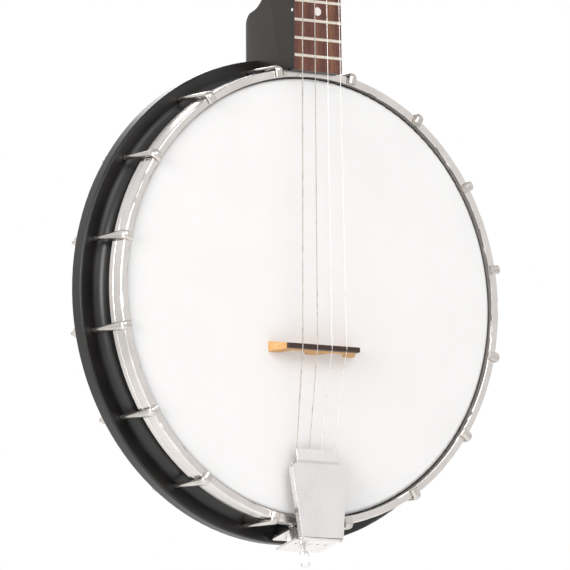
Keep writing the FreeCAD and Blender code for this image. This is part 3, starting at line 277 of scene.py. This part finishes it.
def surface(tree, **inputs):
    """The shader and the output. A trailing name such as Base_Color means the Base Color socket."""
    named = {name.replace("_", " "): value for name, value in inputs.items()}
    shader = add(tree, "ShaderNodeBsdfPrincipled", named)
    add(tree, "ShaderNodeOutputMaterial", {"Surface": shader.outputs[0]})


def ring_place(tree, place):
    """Coordinates that change only with radius and depth, so that noise in them runs round the pot."""
    axes = add(tree, "ShaderNodeSeparateXYZ", {"Vector": place})
    flat = add(tree, "ShaderNodeCombineXYZ", {"X": axes.outputs["X"], "Z": axes.outputs["Z"]})
    radius = add(tree, "ShaderNodeVectorMath", {0: flat.outputs[0]}, operation="LENGTH").outputs["Value"]
    return add(tree, "ShaderNodeCombineXYZ", {"X": radius, "Y": axes.outputs["Y"]}).outputs[0]


# %% [markdown]
# The pot is one black moulding with a satin skin: a mould leaves a very fine orange peel, and handling
# leaves faint cloudy patches of a higher or lower gloss. The neck has the same black, sprayed as lacquer:
# smoother, with a thin clear film over it, and a long shallow waviness along the grain beneath.

# %% Black finishes
def satin_black():
    """Moulded ABS, satin."""
    made, tree, place = new_material("moulded_abs_satin_black")
    clouds = noise(tree, place, 30.0, 4.0)
    peel = noise(tree, place, 0.7, 2.0)
    colour = ramp(tree, clouds, [(0.35, "#100F0F"), (0.65, "#191716")])
    surface(tree, Base_Color=colour, Roughness=span(tree, clouds, 0.32, 0.38), IOR=1.54,
            Normal=bump(tree, peel, 0.008))
    return made


def black_lacquer():
    """Black lacquer over hardwood, semi-gloss."""
    made, tree, place = new_material("lacquer_black_semigloss")
    clouds = noise(tree, place, 22.0, 4.0)
    waves = noise(tree, place, 3.0, 2.0, (1, 1, 0.08))
    dust = noise(tree, place, 0.5, 2.0)
    colour = ramp(tree, clouds, [(0.35, "#120D0B"), (0.65, "#1C1613")])
    relief = bump(tree, dust, 0.003, bump(tree, waves, 0.02))
    surface(tree, Base_Color=colour, Roughness=span(tree, clouds, 0.38, 0.46), Normal=relief,
            Specular_Tint=linear("#F8EDE4"), Coat_Weight=0.10, Coat_Roughness=0.25)
    return made


def gloss_plastic():
    """Black sheet plastic, glossy, with hairline scratches from a polishing cloth."""
    made, tree, place = new_material("sheet_plastic_gloss_black")
    hairs = noise(tree, place, 0.25, 2.0, (1, 1, 0.04), (0, 0.4, 0))
    colour = ramp(tree, noise(tree, place, 12.0), [(0.35, "#0D0D0E"), (0.65, "#161617")])
    surface(tree, Base_Color=colour, Roughness=span(tree, hairs, 0.10, 0.22), Normal=bump(tree, hairs, 0.002))
    return made


# %% [markdown]
# The head is a polyester film with a frosted coating sprayed on its face. The coating is a little uneven,
# has a fine tooth, and is greyer where a picking hand has rubbed it. The film is translucent, so a small
# share of light spreads within it.

# %% Frosted head
def frosted_head():
    """Polyester film with a frosted coating."""
    made, tree, place = new_material("polyester_film_frosted")
    wide = noise(tree, place, 60.0, 3.0)
    tooth = noise(tree, place, 0.35, 3.0)
    specks = add(tree, "ShaderNodeTexVoronoi", {"Vector": place, "Scale": 1 / (1.4 * MM)}).outputs["Distance"]
    coat = ramp(tree, wide, [(0.3, "#E2E0E0"), (0.7, "#E4E2E2")])
    speckle = ramp(tree, specks, [(0.02, "#EEEEEF"), (0.12, "#FFFFFF")])
    colour = add(tree, "ShaderNodeVectorMath", {0: coat, 1: speckle}, operation="MULTIPLY").outputs[0]
    surface(tree, Base_Color=colour, Roughness=span(tree, wide, 0.54, 0.58), IOR=1.45,
            Normal=bump(tree, tooth, 0.01), Subsurface_Weight=0.05, Subsurface_Scale=0.002)
    return made


# %% [markdown]
# Nickel plate is warmer than chrome and never quite even. On the hoops the buffing wheel has followed the
# ring, so its marks run round the pot; on the bent sheet of the tailpiece they run along it; small parts
# are tumbled, which leaves no direction. Fingermarks show as wide, soft changes of gloss.
# The tension hoop's inner wall has a dark tint above the head. It stands in for a dark reflection there.

# %% Plated metal
def painted_reflection_wall(tree, place):
    """Mask of the painted dark reflection: one on a wall that looks at the pot's axis and stands proud of the
    head, fading to zero at the head.
    """
    axes = add(tree, "ShaderNodeSeparateXYZ", {"Vector": place})
    flat = add(tree, "ShaderNodeCombineXYZ", {"X": axes.outputs["X"], "Z": axes.outputs["Z"]})
    outward = add(tree, "ShaderNodeVectorMath", {0: flat.outputs[0]}, operation="NORMALIZE").outputs[0]
    normal = add(tree, "ShaderNodeTexCoord").outputs["Normal"]
    facing = add(tree, "ShaderNodeVectorMath", {0: normal, 1: outward}, operation="DOT_PRODUCT")
    inward = span(tree, facing.outputs["Value"], 1.0, 0.0, -0.85, -0.55)
    return maths(tree, "MULTIPLY", inward, span(tree, axes.outputs["Y"], 1.0, 0.25, HEAD_Y - 0.0026, HEAD_Y))


def plated(name, colours, roughness, lines, marks=14.0, depth=0.0015):
    """Plated metal: lines gives the coordinates, grain and stretch of the polishing marks."""
    made, tree, place = new_material(name)
    smears = noise(tree, place, marks, 4.0)
    source = ring_place(tree, place) if lines[0] == "ring" else place
    polish = noise(tree, source, lines[1], 3.0, lines[2])
    colour = ramp(tree, smears, [(0.3, colours[0]), (0.7, colours[1])])
    if lines[0] == "ring":
        # Painted reflection: the hoop's inner wall above the head is tinted dark grey, standing in for the dark
        # gap it mirrors there.
        colour = mixed(tree, painted_reflection_wall(tree, place), colour, linear("#3B3836"))
    gloss = maths(tree, "ADD", span(tree, smears, *roughness), span(tree, polish, -0.025, 0.025))
    surface(tree, Base_Color=colour, Metallic=1.0, Roughness=gloss, Normal=bump(tree, polish, depth))
    return made


def drawn_brass():
    """Cut brass gear, unlacquered, with patchy tarnish."""
    made, tree, place = new_material("brass_cut_tarnished")
    tarnish = noise(tree, place, 2.2, 5.0)
    colour = ramp(tree, tarnish, [(0.30, "#7C5C2C"), (0.50, "#B8924E"), (0.72, "#D8B46C")])
    cuts = noise(tree, place, 0.12, 2.0, (0.1, 1, 1))
    surface(tree, Base_Color=colour, Metallic=1.0, Roughness=span(tree, tarnish, 0.42, 0.24),
            Normal=bump(tree, cuts, 0.004))
    return made


def string_finish(name, colours, turns):
    """Steel string. With turns, the relief of a wrap wire with that pitch in millimetres."""
    made, tree, place = new_material(name)
    stain = noise(tree, place, 5.0, 3.0)
    colour = ramp(tree, stain, [(0.3, colours[0]), (0.7, colours[1])])
    relief = bump(tree, noise(tree, place, 0.1, 2.0), 0.001)
    if turns:
        # The wave texture repeats every 2 pi / 20 units at scale one.
        wrap = add(tree, "ShaderNodeTexWave", {"Vector": place, "Scale": 2 * math.pi / (20 * turns * MM)},
                   wave_type="BANDS", bands_direction="Z").outputs["Fac"]
        relief = bump(tree, wrap, 0.06, relief)
    surface(tree, Base_Color=colour, Metallic=1.0, Roughness=span(tree, stain, 0.24, 0.36), Normal=relief)
    return made


# %% [markdown]
# Wood is grown along the neck and sawn, so everything in it is long and thin in Z: wide dark bands from the
# growing years, fine fibres, and short open pores that the finish does not fill. The fingerboard's face is
# bare wood, and its sides are lacquered black with the neck, so the board's material changes by the
# direction the surface faces. The bridge is quarter-sawn maple with its grain level, and a dark cap.

# %% Wood
def fingerboard_wood():
    """Rosewood, oiled on its face and lacquered black on its sides and end."""
    made, tree, place = new_material("rosewood_oiled_black_sides")
    bands = noise(tree, place, 9.0, 5.0, (1, 1, 0.05))
    fibres = noise(tree, place, 0.5, 4.0, (1, 1, 0.03))
    pores = noise(tree, place, 0.35, 1.0, (1, 1, 0.09))
    wood = ramp(tree, bands, [(0.30, "#4A2B25"), (0.44, "#6B3F35"), (0.56, "#80523C"), (0.70, "#96704A")])
    fibre = ramp(tree, fibres, [(0.3, "#B9A69C"), (0.7, "#FFFFFF")])
    pore = ramp(tree, pores, [(0.26, "#5A4640"), (0.34, "#FFFFFF")])
    for tint in (fibre, pore):
        wood = add(tree, "ShaderNodeVectorMath", {0: wood, 1: tint}, operation="MULTIPLY").outputs[0]
    facing = add(tree, "ShaderNodeTexCoord").outputs["Normal"]
    towards = add(tree, "ShaderNodeSeparateXYZ", {"Vector": facing}).outputs["Y"]
    face = span(tree, towards, 1.0, 0.0, -0.80, -0.70)
    colour = mixed(tree, face, linear("#100D0C"), wood)
    gloss = maths(tree, "ADD", span(tree, fibres, 0.34, 0.44), maths(tree, "MULTIPLY", face, 0.10))
    relief = bump(tree, pores, 0.02, bump(tree, fibres, 0.01))
    surface(tree, Base_Color=colour, Roughness=gloss, Normal=relief)
    return made


def bridge_wood(name, stops, roughness):
    """Close-grained bridge wood: fibres level, rays as short bright flecks."""
    made, tree, place = new_material(name)
    fibres = noise(tree, place, 0.45, 4.0, (0.05, 1, 1))
    rays = noise(tree, place, 0.8, 2.0, (0.35, 1, 0.5))
    colour = ramp(tree, fibres, stops)
    fleck = ramp(tree, rays, [(0.45, "#E9DFD4"), (0.65, "#FFFFFF")])
    colour = add(tree, "ShaderNodeVectorMath", {0: colour, 1: fleck}, operation="MULTIPLY").outputs[0]
    surface(tree, Base_Color=colour, Roughness=span(tree, fibres, *roughness), Normal=bump(tree, fibres, 0.012))
    return made


# %% [markdown]
# Small light parts. Bone is cut across and shows short streaks of oil. The dots are plastic pearl: folded
# bands of two or three pale tints under a polished surface. The tuner buttons are cast cream plastic.

# %% Bone, pearl and buttons
def bone():
    """Bleached bone, polished, with short oil streaks."""
    made, tree, place = new_material("bone_polished")
    streaks = noise(tree, place, 0.4, 3.0, (0.12, 1, 1))
    colour = ramp(tree, streaks, [(0.30, "#DCCFB4"), (0.55, "#F0E8D6"), (0.8, "#F7F1E4")])
    surface(tree, Base_Color=colour, Roughness=span(tree, streaks, 0.40, 0.28),
            Normal=bump(tree, streaks, 0.004), Subsurface_Weight=0.15, Subsurface_Scale=0.001)
    return made


def pearl():
    """Pearl plastic, polished flush."""
    made, tree, place = new_material("pearloid_polished")
    folds = add(tree, "ShaderNodeTexNoise", {"Vector": place, "Scale": 1 / (2.2 * MM), "Detail": 4.0,
                                             "Distortion": 2.5}).outputs["Fac"]
    colour = ramp(tree, folds, [(0.30, "#CBC6C0"), (0.42, "#E8E0D8"), (0.52, "#D3CFD4"), (0.62, "#EDE6DE"),
                                (0.75, "#DACBC8")])
    surface(tree, Base_Color=colour, Roughness=span(tree, folds, 0.26, 0.18), Normal=bump(tree, folds, 0.002),
            Coat_Weight=0.6, Coat_Roughness=0.08)
    return made


def cast_plastic():
    """Cream cast plastic, tumbled to a soft gloss."""
    made, tree, place = new_material("cast_plastic_cream")
    swirl = add(tree, "ShaderNodeTexNoise", {"Vector": place, "Scale": 1 / (6.0 * MM), "Detail": 5.0,
                                             "Distortion": 1.2}).outputs["Fac"]
    colour = ramp(tree, swirl, [(0.3, "#DDD2B8"), (0.55, "#EFE6D0"), (0.75, "#F6F0E0")])
    surface(tree, Base_Color=colour, Roughness=span(tree, swirl, 0.22, 0.32), Normal=bump(tree, swirl, 0.004),
            Subsurface_Weight=0.1, Subsurface_Scale=0.001)
    return made


# %% [markdown]
# One finish for each material slot of the record. The CAD nodes are left as they are and only given their
# slot's material; nodes made softer further down take the same one.

# %% Give each slot its finish
EVEN = (1, 1, 1)
FINISH = {
    "pot_moulding": satin_black(),
    "head_film": frosted_head(),
    "hoop_plate": plated("nickel_plate_buffed_round_painted_reflection", ("#E2DDDA", "#EBE6E3"), (0.19, 0.25),
                         ("ring", 0.25, EVEN)),
    "hardware_plate": plated("nickel_plate_tumbled", ("#CEC9C4", "#DFDAD5"), (0.18, 0.28), ("all", 0.5, EVEN)),
    "rod_steel": plated("steel_rod_turned", ("#A3A19E", "#B8B6B2"), (0.28, 0.38), ("all", 0.3, (1, 1, 8))),
    "neck_paint": black_lacquer(),
    "board_wood": fingerboard_wood(),
    "fret_wire": plated("nickel_silver_fret_wire", ("#EFE6D8", "#F7F0E6"), (0.30, 0.38),
                        ("all", 0.2, (0.1, 1, 1)), 4.0),
    "pearl": pearl(),
    "bone": bone(),
    "cover_plastic": gloss_plastic(),
    "bridge_maple": bridge_wood("maple_waxed", [(0.3, "#BF8A4C"), (0.5, "#D9A765"), (0.75, "#E8C088")],
                                (0.42, 0.52)),
    "bridge_ebony": bridge_wood("dark_hardwood_cap", [(0.3, "#1E1310"), (0.5, "#38231C"), (0.75, "#523528")],
                                (0.36, 0.46)),
    "tailpiece_plate": plated("nickel_plate_sheet_satin", ("#EDE9E9", "#F2EFEF"), (0.25, 0.29),
                              ("all", 0.35, (1, 1, 0.08)), 20.0, 0.0002),
    "tuner_plate": plated("nickel_plate_stamped", ("#CBC6C0", "#DAD5CF"), (0.20, 0.30),
                          ("all", 0.4, (1, 1, 0.2))),
    "tuner_brass": drawn_brass(),
    "button_plastic": cast_plastic(),
    "wound_string": string_finish("nickel_wound_string", ("#BDB9B2", "#D6D2CA"), 0.22),
    "plain_string": string_finish("plain_steel_string", ("#CFCDCA", "#E3E1DD"), 0),
}
slots = {}
for entry in frame["record"]["subparts"]:
    slots[entry["node"]] = entry["material_slot"]
for name, node in frame["nodes"].items():
    node.data.materials.clear()
    node.data.materials.append(FINISH[slots[name]])
print(len(FINISH), "finishes on", len(frame["nodes"]), "nodes")

# %% [markdown]
# The CAD's sheet metal, wood and bone have sharp edges. On the real object sheet is tumbled before it is
# plated and wood is sanded, so an edge catches a thin line of light. Seven nodes are replaced by a copy
# whose doubled vertices are merged and whose edges are rounded inwards, so each stays in the same box. The
# rounding is clamped by a mesh's shortest edges. The bridge gets nearly all of its width and the two covers
# and the hanger get a part of theirs, but the nut, the veneer and the tailpiece's base stay sharp.

# %% Rounded copies
def softened(name, width):
    """A copy of a node with its sharp edges rounded by width millimetres, in the node's place."""
    node = frame["nodes"][name]
    holder = bpy.data.objects.new(name + "_holder", node.data.copy())
    scene.collection.objects.link(holder)
    mesh = bmesh.new()
    mesh.from_mesh(holder.data)
    bmesh.ops.remove_doubles(mesh, verts=mesh.verts, dist=0.000001)
    bmesh.ops.dissolve_limit(mesh, angle_limit=math.radians(0.5), verts=mesh.verts, edges=mesh.edges)
    mesh.to_mesh(holder.data)
    mesh.free()
    rounding = holder.modifiers.new("rounding", "BEVEL")
    rounding.width = width * MM
    rounding.segments = 2
    rounding.limit_method = "ANGLE"
    rounding.angle_limit = math.radians(40)
    rounding.harden_normals = True
    rounding.use_clamp_overlap = True
    evaluated = holder.evaluated_get(bpy.context.evaluated_depsgraph_get())
    made = bpy.data.objects.new(name + "_rounded", bpy.data.meshes.new_from_object(evaluated))
    scene.collection.objects.link(made)
    bpy.data.objects.remove(holder)
    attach(made, node["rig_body"])
    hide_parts(name)
    print(made.name, len(made.data.polygons), "faces")
    return made


for name, width in (("tailpiece_cover", 0.35), ("tailpiece_base", 0.25), ("tailpiece_hanger", 0.35),
                    ("bridge_body", 0.3), ("nut", 0.25), ("truss_rod_cover", 0.3), ("headstock_veneer", 0.3)):
    softened(name, width)

# %% [markdown]
# Sixteen hexagon nuts draw the hooks down behind the flange. They are one nut repeated round a circle, which
# is what Geometry Nodes does well: a circle of points, a nut made of a six-sided prism between two short
# cones for its chamfers, and one instance at each point. The circle's size, the turn that puts the first
# nut beside the neck's line and the nut's size are inputs, so another pot would need only other numbers.
# The instances aren't turned, so every nut has its flats the same way, and only their centres follow the CAD.

# %% Hook nuts
def nut_circle():
    """A tree that sets a chamfered nut at each point of a circle round the Y axis."""
    tree = bpy.data.node_groups.new("nut_circle", "GeometryNodeTree")
    for label, kind in (("Count", "Int"), ("Circle", "Float"), ("Turn", "Float"), ("Depth", "Float"),
                        ("Corner", "Float"), ("Height", "Float"), ("Chamfer", "Float")):
        tree.interface.new_socket(label, in_out="INPUT", socket_type="NodeSocket" + kind)
    tree.interface.new_socket("Finish", in_out="INPUT", socket_type="NodeSocketMaterial")
    tree.interface.new_socket("Geometry", in_out="OUTPUT", socket_type="NodeSocketGeometry")
    given = add(tree, "NodeGroupInput").outputs
    circle = add(tree, "GeometryNodeMeshCircle", {"Vertices": given["Count"], "Radius": given["Circle"]})
    stand = add(tree, "ShaderNodeCombineXYZ", {"X": math.pi / 2})
    lift = add(tree, "ShaderNodeCombineXYZ", {"Y": given["Depth"]})
    upright = add(tree, "GeometryNodeTransform", {"Geometry": circle.outputs["Mesh"],
                                                  "Rotation": stand.outputs[0]})
    spin = add(tree, "ShaderNodeCombineXYZ", {"Y": given["Turn"]})
    points = add(tree, "GeometryNodeTransform", {"Geometry": upright.outputs[0], "Rotation": spin.outputs[0],
                                                 "Translation": lift.outputs[0]})
    flat = maths(tree, "SUBTRACT", given["Height"], maths(tree, "MULTIPLY", given["Chamfer"], 2.0))
    prism = add(tree, "GeometryNodeMeshCylinder", {"Vertices": 6, "Radius": given["Corner"], "Depth": flat})
    narrow = maths(tree, "MULTIPLY", given["Corner"], 0.86)
    tip = add(tree, "GeometryNodeMeshCone", {"Vertices": 6, "Radius Bottom": given["Corner"],
                                             "Radius Top": narrow, "Depth": given["Chamfer"]})
    half = maths(tree, "MULTIPLY", flat, 0.5)
    up = add(tree, "ShaderNodeCombineXYZ", {"Z": half})
    top = add(tree, "GeometryNodeTransform", {"Geometry": tip.outputs["Mesh"], "Translation": up.outputs[0]})
    low = add(tree, "GeometryNodeTransform", {"Geometry": top.outputs[0], "Rotation": (math.pi, 0, 0)})
    nut = add(tree, "GeometryNodeJoinGeometry")
    for part in (low.outputs[0], top.outputs[0], prism.outputs["Mesh"]):
        tree.links.new(part, nut.inputs[0])
    along = add(tree, "GeometryNodeTransform", {"Geometry": nut.outputs[0], "Rotation": (math.pi / 2, 0, 0)})
    placed = add(tree, "GeometryNodeInstanceOnPoints", {"Points": points.outputs[0],
                                                        "Instance": along.outputs[0]})
    real = add(tree, "GeometryNodeRealizeInstances", {"Geometry": placed.outputs[0]})
    dressed = add(tree, "GeometryNodeSetMaterial", {"Geometry": real.outputs[0], "Material": given["Finish"]})
    add(tree, "NodeGroupOutput", {"Geometry": dressed.outputs[0]})
    return tree


def grown(tree, name, body, slot_name, **values):
    """Runs a tree once and keeps what it makes as a plain mesh."""
    holder = bpy.data.objects.new(name + "_holder", bpy.data.meshes.new(name + "_holder"))
    scene.collection.objects.link(holder)
    modifier = holder.modifiers.new("grow", "NODES")
    modifier.node_group = tree
    values["Finish"] = FINISH[slot_name]
    for item in tree.interface.items_tree:
        if item.in_out == "INPUT":
            modifier[item.identifier] = values[item.name]
    evaluated = holder.evaluated_get(bpy.context.evaluated_depsgraph_get())
    made = bpy.data.objects.new(name, bpy.data.meshes.new_from_object(evaluated))
    scene.collection.objects.link(made)
    bpy.data.objects.remove(holder)
    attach(made, body)
    print(name, len(made.data.polygons), "faces")
    return made


HOOK_COUNT = 16
HOOK_CIRCLE = 158.1             # millimetres, radius
HOOK_TURN = 0.6                 # degrees, beyond half a step from the neck's line
NUT_CORNER = 3.69               # millimetres, from the nut's centre to a corner
NUT_CHAMFER = 0.5
nuts_low, nuts_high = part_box("hook_nuts")
nuts = grown(nut_circle(), "hook_nuts_chamfered", "instrument", "hardware_plate",
             Count=HOOK_COUNT, Circle=HOOK_CIRCLE * MM, Turn=math.radians(180 / HOOK_COUNT + HOOK_TURN),
             Depth=(nuts_low.y + nuts_high.y) / 2, Corner=NUT_CORNER * MM,
             Height=nuts_high.y - nuts_low.y, Chamfer=NUT_CHAMFER * MM)
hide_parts("hook_nuts")

# %% [markdown]
# Last, the sizes. The visual model must stay inside the CAD's box, so how far it grows past that box is
# printed.

# %% Sizes and finish
lo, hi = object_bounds()
past = [c - v for c, v in zip(cad_low, lo)] + [v - c for c, v in zip(cad_high, hi)]
print("grew past the CAD box by", max(past))
